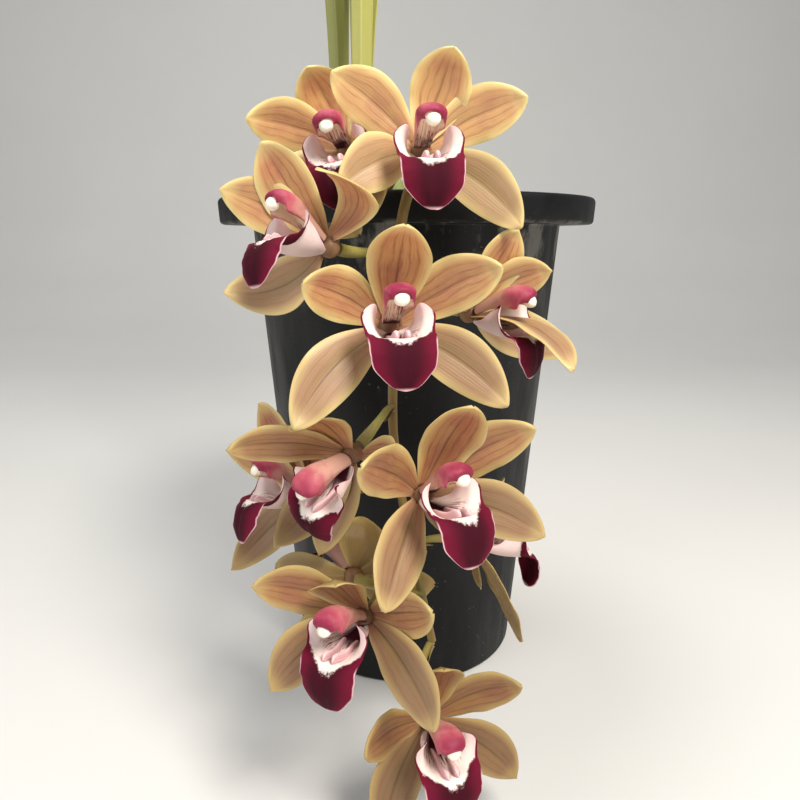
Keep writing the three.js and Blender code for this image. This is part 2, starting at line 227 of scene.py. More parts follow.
mottleTree, g, entry, leave = newTree(
    "ShaderNodeTree",
    "soft mottling",
    [("Place", "Vector"), ("Scale", "Float", 60.0), ("Low", "Float", 0.35), ("High", "Float", 0.65)],
    [("Value", "Float"), ("Grain", "Float")],
)
cloud = g.noise(entry["Place"], entry["Scale"], 4.0, 0.55)
g.feed(leave["Value"], g.smooth(cloud, entry["Low"], entry["High"]))
g.feed(leave["Grain"], g.noise(entry["Place"], entry["Scale"] * 28.0, 2.0, 0.6))


# Pieces from arrays of points.
def closedSheet(front, back):
    rows, columns = front.shape[:2]
    at = np.arange(rows * columns).reshape(rows, columns)
    top = np.stack([at[:-1, :-1], at[:-1, 1:], at[1:, 1:], at[1:, :-1]], -1).reshape(-1, 4)
    rim = np.concatenate([at[0, :], at[1:, -1], at[-1, -2::-1], at[-2:0:-1, 0]])
    after = np.roll(rim, -1)
    wall = np.stack([after, rim, rim + at.size, after + at.size], -1)
    points = np.concatenate([front.reshape(-1, 3), back.reshape(-1, 3)])
    return points, [top, top[:, ::-1] + at.size, wall]


def closedTube(rings):
    count, sides = rings.shape[:2]
    at = np.arange(count * sides).reshape(count, sides)
    turn = np.roll(at, -1, axis=1)
    wall = np.stack([at[:-1], turn[:-1], turn[1:], at[1:]], -1).reshape(-1, 4)
    start = np.stack([np.full(sides, at.size), turn[0], at[0]], -1)
    end = np.stack([np.full(sides, at.size + 1), at[-1], turn[-1]], -1)
    points = np.concatenate([rings.reshape(-1, 3), [rings[0].mean(0), rings[-1].mean(0)]])
    return points, [wall, start, end]


def sheetUv(rows, columns, repeat=2):
    grid = np.stack(np.meshgrid(columns, rows), -1).reshape(-1, 2)
    return np.concatenate([grid] * repeat)


def around(radius, angle, height, place=(0, 0)):  # points about an upright axis
    x, y = place[0] + radius * np.cos(angle), place[1] + radius * np.sin(angle)
    return np.stack([x, y, np.broadcast_to(height, x.shape)], -1)


def sideways(sides):
    return np.linspace(0, fullTurn, sides, endpoint=False)


def asPart(made, **extra):
    return {"points": made[0], "faces": made[1], **extra}


def makeMesh(name, parts, materials):
    points, faces, uvs, slots, extra = [], [], [], [], {}
    keys = sorted({key for part in parts for key in part.get("fields", {})})
    start = 0
    for part in parts:
        size = len(part["points"])
        points.append(part["points"])
        uvs.append(part.get("uv", np.zeros((size, 2))))
        for block in part["faces"]:
            faces.extend((block + start).tolist())
            slots.extend([part.get("material", 0)] * len(block))
        for key in keys:
            value = part.get("fields", {}).get(key, 0.0)
            extra.setdefault(key, []).append(np.broadcast_to(value, size))
        start += size
    mesh = bpy.data.meshes.new(name)
    mesh.from_pydata(np.concatenate(points).tolist(), [], faces)
    corners = np.empty(len(mesh.loops), dtype=np.int32)
    mesh.loops.foreach_get("vertex_index", corners)
    layer = mesh.uv_layers.new(name="UVMap")
    layer.data.foreach_set("uv", np.concatenate(uvs)[corners].astype(np.float32).ravel())
    for key, values in extra.items():
        setField(mesh, key, np.concatenate(values))
    mesh.polygons.foreach_set("material_index", slots)
    mesh.shade_smooth()
    for material in materials:
        mesh.materials.append(material)
    return mesh


def setField(mesh, name, values):
    field = mesh.attributes.new(name, "FLOAT", "POINT")
    field.data.foreach_set("value", values.astype(np.float32))


def newObject(name, data):
    item = bpy.data.objects.new(name, data)
    scene.collection.objects.link(item)
    return item


def placePiece(piece, node):
    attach(piece, "root")
    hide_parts(node)


def makePiece(name, parts, materials, node):
    placePiece(newObject(name, makeMesh(name, parts, materials)), node)


def joinMeshes(name, meshes, node):
    objects = [newObject(name, mesh) for mesh in meshes]
    with bpy.context.temp_override(active_object=objects[0], selected_editable_objects=objects):
        bpy.ops.object.join()
    placePiece(objects[0], node)


def shapedMesh(item):  # the mesh that an object's modifiers make
    bpy.context.view_layer.update()
    mesh = bpy.data.meshes.new_from_object(item.evaluated_get(bpy.context.evaluated_depsgraph_get()))
    item.modifiers.clear()
    return mesh


def bakeNodes(name, source, tree, values):  # runs a geometry tree once and keeps its plain mesh
    holder = newObject(name + " source", source)
    modifier = holder.modifiers.new("shape", "NODES")
    modifier.node_group = tree
    sockets = {item.name: item.identifier for item in tree.interface.items_tree if item.in_out == "INPUT"}
    for key, value in values.items():
        modifier[sockets[key]] = value
    mesh = shapedMesh(holder)
    mesh.name = name
    bpy.data.objects.remove(holder)
    return mesh


def polyCurve(name, paths):
    curve = bpy.data.curves.new(name, "CURVE")
    curve.dimensions = "3D"
    for path in paths:
        spline = curve.splines.new("POLY")
        spline.points.add(len(path) - 1)
        spline.points.foreach_set("co", np.concatenate([path * mm, np.ones((len(path), 1))], 1).ravel())
    return curve


# Blooms: the same places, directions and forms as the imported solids, drawn finely.
bloomShape = {
    "rows": 34,
    "columns": 22,
    "thickness": 0.85,  # mm
    "wave": 0.32,  # mm, how far the margins wave
    "marginRoll": 0.08,
    "crown": 0.05,  # how much each half swells beside the midrib
    "groove": 0.4,  # mm, depth of the midrib's furrow
    "rib": 0.45,  # mm, extra thickness along the midrib
    "tipHook": 1.3,  # mm, how far the tip turns forwards
    "twist": 0.1,
    "hubRadius": 4.0,
    "hubBack": 2.0,
    "root": 3.4,
    "rootShare": 0.24,
    "tipWidth": 1.2,
    "agedFrom": 275,  # mm, painted shade: the lower a bloom, the darker and browner its tepals are painted
    "agedOver": 230,
}
tepalKinds = [  # width, bow, sweep, cup, widest place, paleness
    (22, 5, 0, 0.28, 0.58, 0.1),
    (19.5, 2, 2, 0.14, 0.58, 0.3),
    (19.5, 2, -2, 0.14, 0.58, 0.3),
    (20, -2, 4, 0.16, 0.52, 0.85),
    (20, -2, -4, 0.16, 0.52, 0.85),
]
blooms = [  # centre, facing, look, node on the spike, tepals
    ((4, -126, 267), (9, -5, 0), (-2, -5), 0.4,
     [(19, 12, 36), (-51, 10, 41), (65, 7, 42), (-117, 29, 37, -3, 3), (126, 5, 47)]),
    ((-24, -112, 269), (-8, -10, -12), None, 0.34,
     [(-26, 10, 32), (-74, 9, 39), (45, 11, 28), (-138, 9, 33), (153, 29, 30, -2, -2)]),
    ((-30, -143, 233), (-47, 12, -8), (-30, 5), 0.52,
     [(-31, -2, 41, 2, -2), (-62, -9, 43), (0, 34, 30, 10, 7),
      (-114, -11, 43, 4, -5), (71, -65, 27, -6, -2)]),
    ((-7, -152, 206), (11, 4, 0), (2, 4), 0.58,
     [(9, 30, 40), (-61, 21, 35), (61, 12, 44), (-135, 26, 50), (123, 12, 50)]),
    ((25, -125, 207), (56, -8, -6), (40, -5), 0.6,
     [(27, -4, 36, 0, 0), (19, 55, 33, 4, -2), (62, -13, 36),
      (117, 48, 51, -5, -7), (111, -15, 48, 10, 0)]),
    ((-22, -150, 157), (-50, -38, 25), (-25, -20), 0.7,
     [(-45, 35, 30), (-83, 10, 44), (100, 15, 20), (-143, -14, 54, 7, -1), (-163, -11, 46, 8, 3)]),
    ((-43, -120, 131), (-56, 12, -12), (-35, -5), 0.8,
     [(-30, -21, 44, 2, -2), (-73, -32, 47), (3, -9, 30), (-138, -8, 52, 10, 4), (-173, 13, 17)]),
    ((5, -162, 147), (33, 6, 3), (20, 0), 0.76,
     [(23, 21, 42, 5, 2), (-46, 45, 41), (58, -1, 46), (-155, 42, 44, -2, 2), (109, 3, 46)]),
    ((28, -128, 114), (105, -10, 0), None, 0.88,
     [(-4, -15, 37), (-49, -20, 30), (40, -50, 34), (176, -45, 40), (156, 8, 48)]),
    ((-17, -166, 101), (-28, -6, -4), (-15, 0), 0.9,
     [(-23, 31, 25, 5, -5), (-75, -4, 42), (64, 33, 33, 0, 0), (-130, 3, 45), (139, 31, 46)]),
    ((-23, -136, 102), (-150, -10, 0), None, 0.94,
     [(10, -20, 24), (-91, -15, 34), (85, -30, 36), (-148, -18, 49, 2, 2), (113, -28, 43)]),
    ((8, -160, 52), (20, -11, -3), (10, 0), 1.0,
     [(8, 22, 35), (-94, 35, 30), (66, 0, 39), (-156, 19, 45), (129, -5, 46)]),
]


def bloomFrame(at, facing):
    yaw, pitch, roll = (math.radians(a) for a in facing)
    turn = Matrix.Rotation(yaw, 3, "Z") @ Matrix.Rotation(-pitch, 3, "X") @ Matrix.Rotation(roll, 3, "Y")
    return np.array(turn), np.array(at, float)


def crowded(count):  # places from -1 to 1, closer together near the margins
    return np.sin(np.linspace(-1, 1, count + 1) * np.pi / 2)


def tepalHalfWidth(t, width, widest):
    share = bloomShape["rootShare"]
    rise = share + (1 - share) * np.sin(np.minimum(t / widest, 1) * np.pi / 2)
    rest = np.cos(np.clip((t - widest) / (1 - widest), 0, 1) * np.pi / 2) ** 0.62
    return np.maximum(width / 2 * np.where(t < widest, rise, rest), bloomShape["tipWidth"] / 2)


def tepalPart(centre, heart, look, aim, kind, shade):
    width, bow, sweep, cup, widest, pale = kind
    clock, lean, length, *rest = aim
    if rest:
        bow, sweep = rest
    turn, tilt = math.radians(clock), math.radians(lean)
    reach = np.array([math.cos(tilt) * math.sin(turn), -math.sin(tilt), math.cos(tilt) * math.cos(turn)])
    root = heart + reach * bloomShape["root"]
    axis = centre + reach * length - root
    along = axis / np.linalg.norm(axis)
    normal = look - along * look.dot(along)
    normal /= np.linalg.norm(normal)
    side = np.cross(along, normal)
    rows = np.linspace(0, 1, bloomShape["rows"] + 1) ** 0.92
    columns = crowded(bloomShape["columns"])
    t, v = np.meshgrid(rows, columns, indexing="ij")
    half = tepalHalfWidth(t, width, widest)
    arch = 4 * t * (1 - t)
    phase = rng.uniform(0, fullTurn, 3)
    twist = bloomShape["twist"] * rng.uniform(-1, 1)
    wave = np.sin(t * 13 + phase[0]) + 0.6 * np.sin(t * 23 + phase[1] + 2 * np.sign(v))
    lift = cup * half * v**2 - bow * arch
    lift += bloomShape["wave"] * wave * np.abs(v) ** 3 * np.sqrt(np.clip(arch, 0, 1))
    lift += bloomShape["crown"] * half * np.sin(np.pi * np.minimum(np.abs(v), 1)) + twist * half * v * arch
    lift -= bloomShape["marginRoll"] * half * v**6
    lift -= bloomShape["groove"] * swell(v, 0.08) * (1 - t) ** 0.5
    lift += bloomShape["tipHook"] * smoothStep(t, 0.88, 1.0) * (1 - v**2)
    thick = bloomShape["thickness"] * (1 - 0.6 * v**6) + bloomShape["rib"] * swell(v, 0.13) * (1 - t)

    def face(height):
        shift = (half * v + sweep * arch)[..., None] * side + height[..., None] * normal
        return (root + t[..., None] * axis + shift) * mm

    fields = {"under": np.repeat([0.0, 1.0], t.size), "pale": pale + rng.uniform(-0.12, 0.12), "shade": shade}
    made = closedSheet(face(lift), face(lift - thick))
    return asPart(made, uv=sheetUv(rows, (columns + 1) / 2), fields=fields)


def ball(radii, turn, centre, rings=14, sides=20):
    angles = np.linspace(0, np.pi, rings + 1)[1:-1]
    ring, spin = np.meshgrid(angles, sideways(sides), indexing="ij")
    points, faces = closedTube((around(np.sin(ring), spin, -np.cos(ring)) * radii) @ turn.T + centre)
    points[-2:] = (np.array([[0, 0, -1.0], [0, 0, 1.0]]) * radii) @ turn.T + centre
    return points, faces


def tepalPiece(number, at, facing, look, aims):
    turn, centre = bloomFrame(at, facing)
    heart = centre + turn @ np.array([0, bloomShape["hubBack"], 0])
    gaze = bloomFrame(at, (*look, 0))[0] if look else turn
    ahead = gaze @ np.array([0, -1.0, 0])
    # painted shade: the lower a bloom sits, the more its tepal colour is darkened
    shade = float(np.clip((bloomShape["agedFrom"] - at[2]) / bloomShape["agedOver"], 0, 1))
    parts = [tepalPart(centre, heart, ahead, aim, kind, shade) for aim, kind in zip(aims, tepalKinds)]
    points, faces = ball(np.full(3, bloomShape["hubRadius"] * 0.97), turn, heart)
    throat = smoothStep(-((points - heart) @ turn)[:, 1], 0.2, 1.6)
    fields = {"under": 0.3, "pale": 0.6, "shade": shade, "throat": throat}
    parts.append(asPart((points * mm, faces), uv=np.tile([0.5, 0.02], (len(points), 1)), fields=fields))
    makePiece(f"bloom_{number}_petals", parts, [tepalMaterial], f"bloom_{number}_tepals")


# Lip: stations are forward, up, half width along the surface and curl, as in the solids.
lipShape = {
    "rows": 66,
    "columns": 52,
    "thickness": 0.8,
    "flare": 0.25,  # how far the side lobes open outwards
    "hug": 0.15,  # how much closer the root curls round the column
    "ruffle": 0.22,
    "furrow": 0.7,
    "keelAt": 2.7,
    "keelIn": 0.8,  # how much closer the keels are at their front
}
lipStations = np.array([
    (1.8, -2.5, 3.2, 0.2), (6.5, -4.2, 9.5, 0.15), (11, -5, 14.7, 0.121), (15, -5.2, 18, 0.102),
    (18, -5, 16.7, 0.084), (20.5, -4.3, 12.6, 0.06), (24.5, -2.8, 11.3, -0.01), (28.6, -6.5, 11.5, -0.045),
    (29.5, -13, 10.4, -0.05), (27.5, -19.5, 6, -0.05),
])
lipEnd = len(lipStations) - 1


def alongStations(stations, s):  # smooth values between the stations
    last = len(stations) - 1
    i = np.clip(np.floor(s).astype(int), 0, last - 1)
    f = (s - i)[..., None]
    p0, p1 = stations[np.maximum(i - 1, 0)], stations[i]
    p2, p3 = stations[i + 1], stations[np.minimum(i + 2, last)]
    bend = 2 * p0 - 5 * p1 + 4 * p2 - p3
    return 0.5 * (2 * p1 + (p2 - p0) * f + bend * f**2 + (3 * p1 - p0 - 3 * p2 + p3) * f**3)


def centreLine(stations, s):  # forward, up and direction, then the other values
    last = len(stations) - 1
    values = alongStations(stations, s)
    before, after = (alongStations(stations, np.clip(s + step, 0, last)) for step in (-0.05, 0.05))
    along = (after - before)[:, :2]
    return (values[:, :1], values[:, 1:2], along / np.linalg.norm(along, axis=1)[:, None]), values[:, 2:].T


def swept(line, across, rise, turn, centre):  # points beside and above a centre line
    forward, up, along = line
    local = np.stack([across, -(forward - along[:, 1:2] * rise), up + along[:, 0:1] * rise], -1)
    return (local @ turn.T + centre) * mm


def lipSection(s, columns):  # centre line and cross-section at each place
    line, (half, curl) = centreLine(lipStations, s)
    half = half * np.sqrt(np.clip(1 - (np.clip(s - 7.7, 0, None) / 1.31) ** 2, 0.004, 1))
    opened = lipShape["flare"] * smoothStep(s, 2.2, 4.0) * (1 - smoothStep(s, 4.9, 6.0))
    hugging = lipShape["hug"] * smoothStep(s, 0.5, 1.8) * (1 - smoothStep(s, 3.0, 4.2))
    bend = curl * half * (1 + hugging + 0.5 * opened)
    v = columns[None, :]
    angle = bend[:, None] * v * (1 - opened[:, None] * v**2)
    steps = np.diff(columns)[None, :] * half[:, None]
    between = (angle[:, 1:] + angle[:, :-1]) / 2
    middle = len(columns) // 2

    def placed(moves):
        sums = np.concatenate([np.zeros((len(s), 1)), np.cumsum(moves * steps, 1)], 1)
        return sums - sums[:, middle : middle + 1]

    return line, placed(np.cos(between)), placed(np.sin(between)), angle


def lipPart(turn, centre, seed):
    noise = np.random.default_rng(seed)
    s = np.linspace(0, lipEnd, lipShape["rows"] + 1)
    s = np.concatenate([s[:-6], lipEnd - (1 - np.linspace(0, 1, 9)) ** 1.6 * (lipEnd - s[-6])])
    columns = crowded(lipShape["columns"])
    line, x, z, angle = lipSection(s, columns)
    v = np.broadcast_to(columns[None, :], x.shape)
    phase = noise.uniform(0, fullTurn, 4)
    skirt = smoothStep(s, 5.4, 6.6)[:, None]
    ruffle = np.sin(s[:, None] * 4.6 + phase[0] + 2.2 * np.sign(v))
    ruffle = ruffle + 0.6 * np.sin(s[:, None] * 8.3 + phase[1])
    z = z + lipShape["ruffle"] * ruffle * np.abs(v) ** 3 * (0.25 + 0.75 * skirt)
    z = z - lipShape["furrow"] * swell(v, 0.16) * skirt * (1 - smoothStep(s, 7.5, 9)[:, None])
    thick = lipShape["thickness"] * (1 - 0.55 * v**6)

    def face(depth):
        return swept(line, x + depth * np.sin(angle), z - depth * np.cos(angle), turn, centre)

    fields = {"under": np.repeat([1.0, 0.0], x.size)}
    made = closedSheet(face(thick), face(np.zeros_like(z)))
    return asPart(made, uv=sheetUv(s / lipEnd, (columns + 1) / 2), fields=fields)


def keelPart(turn, centre, hand):  # one of the two raised keels in the lip's throat
    s = np.linspace(1.4, 5.9, 30)
    share = np.linspace(0, 1, len(s))
    line, _ = centreLine(lipStations, s)
    radius = (0.3 + np.sqrt(np.clip(1 - (2 * share - 1) ** 8, 0, 1)) * (0.6 + 0.75 * share))[:, None]
    place = (hand * (lipShape["keelAt"] - lipShape["keelIn"] * share))[:, None]
    spin = sideways(14)
    across = place + radius * 0.85 * np.cos(spin)
    rise = 0.75 * radius + 0.15 + radius * 1.25 * np.sin(spin) + 0.02 * place**2
    uv = np.concatenate([sheetUv(share, spin / fullTurn, 1), [[0.5, 0], [0.5, 1]]])
    return asPart(closedTube(swept(line, across, rise, turn, centre)), uv=uv, fields={"keel": 1.0})


def lipPiece(number, at, facing):
    turn, centre = bloomFrame(at, facing)
    parts = [lipPart(turn, centre, 300 + number), keelPart(turn, centre, 1), keelPart(turn, centre, -1)]
    makePiece(f"bloom_{number}_labellum", parts, [lipMaterial], f"bloom_{number}_lip")


# Column: an arched rod with winged edges, hollow below, and a white cap under its tip.
columnStations = np.array([
    (2.3, 1.8, 3.1, 2.2), (8, 5.8, 3.6, 2.5), (15, 10.6, 4.6, 3), (20.5, 11.6, 5, 3.2),
    (23.5, 10.2, 3.8, 2.5),
])
columnShape = {
    "rows": 44,
    "columns": 34,
    "drop": 28,  # degrees that its edges reach below the middle
    "wing": 2.4,  # how much further they hang halfway along
    "close": 0.22,  # how far the tip narrows
    "cap": (2.65, 2.5, 2.4),  # mm, radii of the white cap
    "capAt": (0, -22.7, 9.6),
}


def columnPiece(number, at, facing):
    turn, centre = bloomFrame(at, facing)
    s = np.linspace(0, 4, columnShape["rows"] + 1)
    line, sizes = centreLine(columnStations, s)
    close = 1 - columnShape["close"] * smoothStep(s, 3.5, 4.0) ** 1.5
    width, thick = (sizes * close)[..., None]
    drop = math.radians(columnShape["drop"])
    spin = np.linspace(-drop, math.pi + drop, columnShape["columns"] + 1)
    hollow = smoothStep(s, 0.5, 2.2)[:, None]
    arched = columnShape["wing"] * hollow * (1 - 0.95 * smoothStep(s, 2.6, 3.9)[:, None])
    edge = np.where(np.sin(spin) < 0, 1 + arched, 1)
    depth = np.sin(spin) * edge * 0.74 * hollow - 0.55 * (1 - hollow)
    outer = swept(line, width * 1.05 * np.cos(spin), thick * np.sin(spin) * edge, turn, centre)
    inner = swept(line, width * (0.94 - 0.1 * hollow) * np.cos(spin), thick * depth, turn, centre)
    uv, under = sheetUv(s / 4, np.linspace(0, 1, len(spin))), np.repeat([0.0, 1.0], edge.size)
    rod = asPart(closedSheet(outer, inner), uv=uv, fields={"under": under})
    points, faces = ball(np.array(columnShape["cap"]), np.eye(3), np.zeros(3), 16, 24)
    points[:, 2] -= 0.1 * points[:, 1] ** 2 * (points[:, 1] < 0)
    points = (points + columnShape["capAt"]) @ turn.T + centre
    parts = [rod, asPart((points * mm, faces), material=1)]
    materials = [columnMaterial, capMaterial]
    makePiece(f"bloom_{number}_hood", parts, materials, f"bloom_{number}_column")


# Spike: the stem and the pedicels are tubes along paths, with a dry bract under each pedicel.
spikeShape = {"radius": 2.5, "tipRadius": 1.7, "pedicel": 1.5, "ovary": 2.3, "sides": 16, "lastStraight": 13}
bractShape = {"length": 9, "start": 1.2, "spread": 1.7, "clear": 0.3, "thickness": 0.3, "lift": 0.8}
stemRoute = np.array([
    (-19.5, -9.5, 224), (-19, -11, 238), (-13, -25, 254), (-2, -52, 270), (7, -80, 278), (9, -98, 276),
    (4, -107, 264), (-2, -112, 246), (-5, -119, 220), (-6, -126, 190), (-6, -129, 160),
    (-2, -131, 130), (4, -133, 100), (10, -136, 72),
], float)


def measured(path):  # length of the path up to each of its points
    return np.concatenate([[0], np.cumsum(np.linalg.norm(np.diff(path, axis=0), axis=1))])


def pathAt(path, lengths):
    return np.stack([np.interp(lengths, measured(path), path[:, k]) for k in range(3)], 1)


def smoothRoute(points, count):  # centripetal spline through the points, at even distances
    ends = [2 * points[0] - points[1], *points, 2 * points[-1] - points[-2]]
    path = []
    for a, b, c, d in zip(ends, ends[1:], ends[2:], ends[3:]):
        d0, d1, d2 = (max(np.linalg.norm(q - p) ** 0.5, 1e-4) for p, q in ((a, b), (b, c), (c, d)))
        m1 = ((b - a) / d0 - (c - a) / (d0 + d1) + (c - b) / d1) * d1
        m2 = ((c - b) / d1 - (d - b) / (d1 + d2) + (d - c) / d2) * d1
        f = np.linspace(0, 1, 24, endpoint=False)[:, None]
        path.append(b + m1 * f + (3 * (c - b) - 2 * m1 - m2) * f**2 + (2 * (b - c) + m1 + m2) * f**3)
    path = np.concatenate([*path, [points[-1]]])
    return pathAt(path, np.linspace(0, measured(path)[-1], count))


def pedicelPath(at, facing, node):
    turn, centre = bloomFrame(at, facing)
    ahead = turn @ np.array([0, -1.0, 0])
    start = route[round(node * (len(route) - 1))]
    end = centre - ahead * (bloomShape["hubBack"] + bloomShape["hubRadius"] + 0.3)
    before = end - ahead * spikeShape["lastStraight"]
    leaveAt = start + (before - start) * 0.45 + np.array([0, 0, 3])
    f = np.linspace(0, 1, 40)[:, None]
    return start * (1 - f) ** 3 + 3 * leaveAt * f * (1 - f) ** 2 + 3 * before * f**2 * (1 - f) + end * f**3


def bractPart(path):  # a dry scale that clasps the pedicel's root from below
    t = np.linspace(0, 1, 14)
    at = pathAt(path, bractShape["start"] + bractShape["length"] * t)
    along = np.gradient(at, axis=0)
    side = np.cross(along, (0, 0, 1.0))
    side /= np.linalg.norm(side, axis=1)[:, None]
    below = np.cross(along, side)
    below /= np.linalg.norm(below, axis=1)[:, None]
    angle = (bractShape["spread"] * np.sqrt(np.clip(1 - t**2, 0.004, 1)))[:, None] * np.linspace(-1, 1, 9)
    out = np.cos(angle)[..., None] * below[:, None] + np.sin(angle)[..., None] * side[:, None]
    radius = spikeShape["pedicel"] + bractShape["clear"] + bractShape["lift"] * t[:, None] ** 2

    def face(extra):
        return (at[:, None] + (radius + extra)[..., None] * out) * mm

    return asPart(closedSheet(face(0), face(bractShape["thickness"])))


tubeTree, g, entry, leave = geometryTree(
    "tube along a path", ("Count", "Int", 40), ("Sides", "Int", 16), ("Start radius", "Float", 0.002),
    ("End radius", "Float", 0.002), ("Swell from", "Float", 0.0), ("Swell to", "Float", 1.0),
    ("Knobbliness", "Float", 0.0), ("Seed", "Int", 3))
path = g.add("GeometryNodeResampleCurve", {"Curve": entry["Geometry"], "Count": entry["Count"]})
factor = g.add("GeometryNodeSplineParameter", out="Factor")
share = g.smooth(factor, entry["Swell from"], entry["Swell to"])
radius = entry["Start radius"] + share * (entry["End radius"] - entry["Start radius"])
wobble = (g.noise(g.join(factor * 60.0, entry["Seed"]), 1.0) - 0.5) * entry["Knobbliness"]
circle = g.add("GeometryNodeCurvePrimitiveCircle", {"Resolution": entry["Sides"], "Radius": 1.0})
tube = g.add("GeometryNodeCurveToMesh", {
    "Curve": path, "Profile Curve": circle, "Scale": radius + radius * wobble, "Fill Caps": True})
endTree(g, entry, leave, g.add("GeometryNodeSetShadeSmooth", {"Geometry": tube}))

# Leaves: folded straps along an arching path.
leafShape = {"width": 12, "thickness": 0.9, "fold": 0.24, "rows": 70, "columns": 14}
bulbShape = {"radius": 14, "height": 46, "foot": 225, "ribs": 9, "ribDepth": 0.028, "inset": 0.985}
sheathShape = {"count": 4, "turn": 1.9, "spread": 1.15, "foot": 0.2, "thickness": 0.35, "flare": 0.9}
bulbs = {  # place, then each leaf: offset, heading, reach, rise
    "pseudobulb_front": ((-24, 8), [(0, -70, 30, 400), (-2.6, -98, 90, 385), (-5.2, -76, 150, 345),
                                     (5.4, 62, 90, 380), (8, 44, 160, 335)]),
    "pseudobulb_middle": ((-39, 47), [(0, -110, 30, 410), (-2.6, -128, 110, 380), (5.4, 84, 100, 390),
                                      (8, 114, 165, 340)]),
    "pseudobulb_back": ((-4, 58), []),
}

leafTree, g, entry, leave = geometryTree(
    "strap leaf", ("Rows", "Int", 60), ("Columns", "Int", 15), ("Width", "Float", 0.013),
    ("Thickness", "Float", 0.001), ("Fold", "Float", 0.24), ("Root side", "Vector"), ("Tip side", "Vector"),
    ("Seed", "Int", 1))
grid = g.add("GeometryNodeMeshGrid", {
    "Size X": 1.0, "Size Y": 1.0, "Vertices X": entry["Rows"], "Vertices Y": entry["Columns"]})
gx, gy, _ = g.split(g.add("GeometryNodeInputPosition"))
share = g.math("ADD", gx, 0.5, clamp=True)
place = gy * 2.0
sample = g.outputs(g.node("GeometryNodeSampleCurve", {"Curves": entry["Geometry"], "Factor": share},
                          mode="FACTOR", use_all_curves=True))
turning = g.smooth(share, 0.2, 0.8)
rootSide, tipSide = g.scaled(entry["Root side"], 1.0 - turning), g.scaled(entry["Tip side"], turning)
side = g.vector("NORMALIZE", g.vector("ADD", rootSide, tipSide))
inside = g.vector("NORMALIZE", g.vector("CROSS_PRODUCT", side, sample["Tangent"]))
swelling = g.math("SINE", g.math("MINIMUM", share / 0.9, 1.0) * math.pi)
taper = g.math("MAXIMUM", 1.0 - share**6.0, 0.06)
half = (swelling * 0.3 + 0.7) * taper * (entry["Width"] * 0.5)
keel = (place * place + 0.012) ** 0.5
ripple = (g.noise(g.join(share * 9.0, place * 0.6, entry["Seed"]), 1.0) - 0.5) * 0.0011
lift = half * keel * (entry["Fold"] * 2.0) + ripple * abs(place)
spot = g.vector("ADD", g.scaled(side, half * place), g.scaled(inside, lift))
spot = g.vector("ADD", sample["Position"], spot)
withUv = g.add("GeometryNodeStoreNamedAttribute",
               {"Geometry": grid, "Name": "UVMap", "Value": g.join(gy + 0.5, share)},
               data_type="FLOAT2", domain="CORNER")
withInside = g.add("GeometryNodeStoreNamedAttribute", {"Geometry": withUv, "Name": "inside", "Value": inside},
                   data_type="FLOAT_VECTOR", domain="POINT")
bent = g.add("GeometryNodeSetPosition", {"Geometry": withInside, "Position": spot})
stored = g.add("GeometryNodeInputNamedAttribute", {"Name": "inside"}, data_type="FLOAT_VECTOR")
thickened = g.add("GeometryNodeExtrudeMesh", {
    "Mesh": bent, "Offset": g.scaled(stored, -1.0), "Offset Scale": entry["Thickness"], "Individual": False},
    mode="FACES")
both = g.node("GeometryNodeJoinGeometry")
g.feed(both.inputs[0], thickened)
g.feed(both.inputs[0], g.add("GeometryNodeFlipFaces", {"Mesh": bent}))
merged = g.add("GeometryNodeMergeByDistance", {"Geometry": Value(g, both.outputs[0]), "Distance": 0.00001})
endTree(g, entry, leave, g.add("GeometryNodeSetShadeSmooth", {"Geometry": merged}))


# Materials.
# aged is a painted shade tint for the lower blooms
petal = tints(bronze="dfaa6a", flush="c67b5a", gold="f4dd98", beige="b08e6d", olive="8f8450", vein="7a3626",
              back="b5975c", backVein="8f5f3d", base="bd8a6e", aged="a4997a", throat="3a0b1a")
tepalMaterial, g, place = newMaterial(
    "waxy tepal", Roughness=0.46, Subsurface_Weight=0.2, Subsurface_Radius=(1.0, 0.45, 0.2),
    Subsurface_Scale=0.003, Coat_Weight=0.05, Coat_Roughness=0.35)
lines, fine = g.veins(place, 7.0, 1.3), g.veins(place, 19.0, 0.6)
cloud = g.mottle(place, 85.0, 0.35, 0.68)
across, along = lines["Across"], lines["Along"]
pale, shade = g.attribute("pale"), g.attribute("shade")
edge = g.math("ADD", g.smooth(across, 0.58, 1.0), g.smooth(along, 0.8, 1.0), clamp=True) * (0.92 - pale * 0.3)
front = g.layers(
    petal["bronze"],
    (g.smooth(cloud["Value"], 0.0, 1.0, 0.2, 0.9) * g.fall(across, 0.3, 0.92), petal["flush"]),
    (pale, petal["beige"]),
    (g.smooth(across, 0.0, 0.45, 0.6, 0.0) * pale * g.smooth(along, 0.95, 0.2), petal["olive"]),
    (edge, petal["gold"]),
    (g.smooth(along, 0.0, 0.22, 0.75, 0.0), petal["base"]),
    (lines["Mask"] * (0.72 - pale * 0.5), petal["vein"]),
    (fine["Mask"] * 0.25, petal["vein"]),
    (lines["Midrib"] * 0.5, petal["vein"]),
)
reverse = g.layers(petal["back"], (edge * 0.6, petal["gold"]), (fine["Mask"] * 0.4, petal["backVein"]))
colour = g.mix(g.attribute("under"), front, reverse)
# painted light: the top blooms are washed towards gold
colour = g.mix(g.smooth(shade, 0.0, 0.4, 0.13, 0.0), colour, petal["gold"])
# painted shade: lower blooms are darkened towards a dull brown
colour = g.mix(shade * 0.8, colour, petal["aged"], "MULTIPLY")
colour = g.mix(g.attribute("throat") * 0.35, colour, petal["throat"])
g.paint(colour, fine["Mask"] * -0.5 + cloud["Grain"] * 0.35, 0.35, 0.0004,
        roughness=g.smooth(cloud["Grain"], 0.2, 0.8, 0.42, 0.56))

